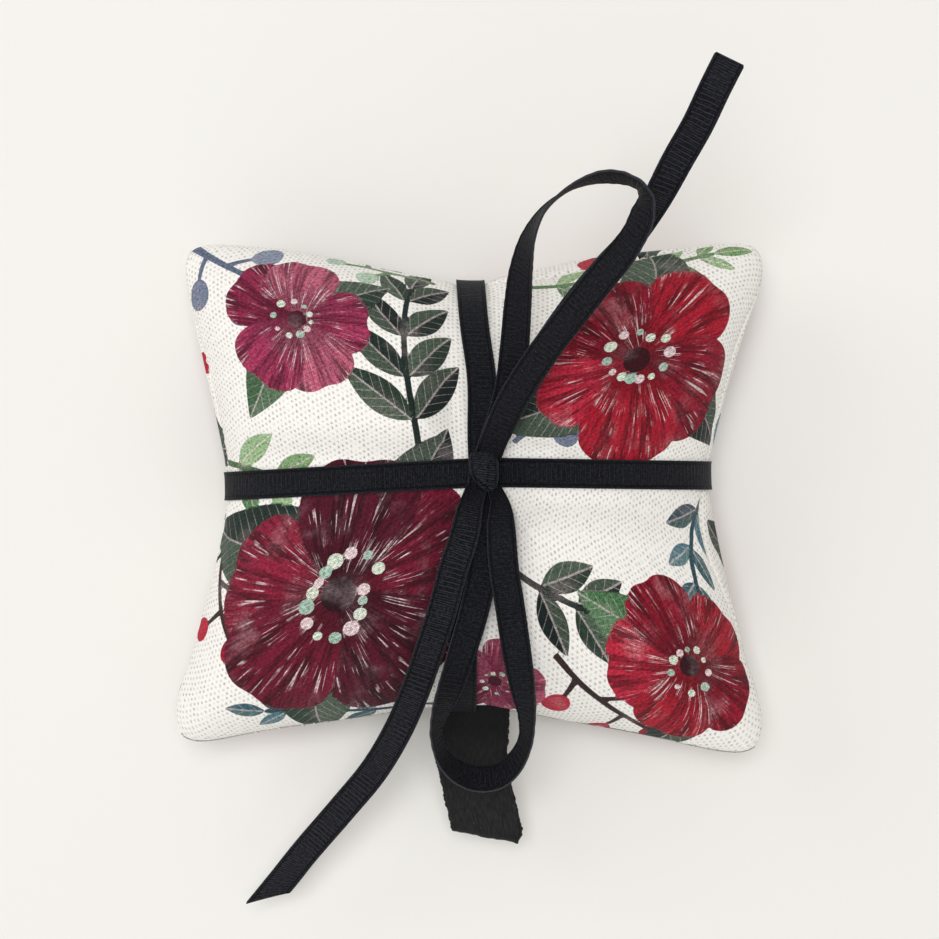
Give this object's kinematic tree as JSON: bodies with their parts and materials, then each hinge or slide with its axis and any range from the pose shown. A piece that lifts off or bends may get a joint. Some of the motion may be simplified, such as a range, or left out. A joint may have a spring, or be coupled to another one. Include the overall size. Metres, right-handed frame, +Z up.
{
  "type": "lavender sachet",
  "caption": "Small stuffed canvas sachet with a hanging tape in its seam, wrapped crosswise in narrow ribbon that is tied in a bow on the front.",
  "frame": {"origin": "on the surface that the sachet lies on, under the middle of the sachet and its hanging tape, measured without the free stretches of the bow", "axes": "+Z up out of the front panel, +Y towards the top of the front panel, away from the hanging tape, +X to the right of the front panel"},
  "size_m": [0.1228, 0.1685, 0.0863],
  "materials": {
    "printed_canvas": "coarse panama-weave cotton canvas, printed, matt",
    "sewing_thread": "spun cotton thread",
    "wadding": "soft polyester fibre",
    "muslin": "thin plain-weave cotton",
    "dried_lavender": "loose dry buds",
    "cotton_tape": "matt cotton tape with soft, slightly fuzzy edges",
    "grosgrain_ribbon": "ribbed grosgrain with a flat selvedge, slight sheen"
  },
  "bodies": {
    "pillow": {"front_panel": "printed_canvas", "back_panel": "printed_canvas", "seam_thread": "sewing_thread", "closing_thread": "sewing_thread", "wadding_front": "wadding", "wadding_back": "wadding", "pouch_front": "muslin", "pouch_back": "muslin", "pouch_thread": "sewing_thread", "lavender_buds": "dried_lavender", "loop_ends": "cotton_tape", "loop_thread": "sewing_thread", "ribbon_band_across": "grosgrain_ribbon", "ribbon_band_lengthwise": "grosgrain_ribbon", "bow_knot": "grosgrain_ribbon", "bow_loop_upper": "grosgrain_ribbon", "bow_loop_lower": "grosgrain_ribbon", "bow_tail_upper": "grosgrain_ribbon", "bow_tail_lower": "grosgrain_ribbon"},
    "tape": {"hanging_loop": "cotton_tape"}
  },
  "joints": [
    {"name": "tape_fold", "type": "hinge", "parent": "pillow", "child": "tape", "pos_m": [0.00237, -0.0374, 0.02], "axis": [-1, 0, 0], "range_deg": [-22, 50]}
  ]
}
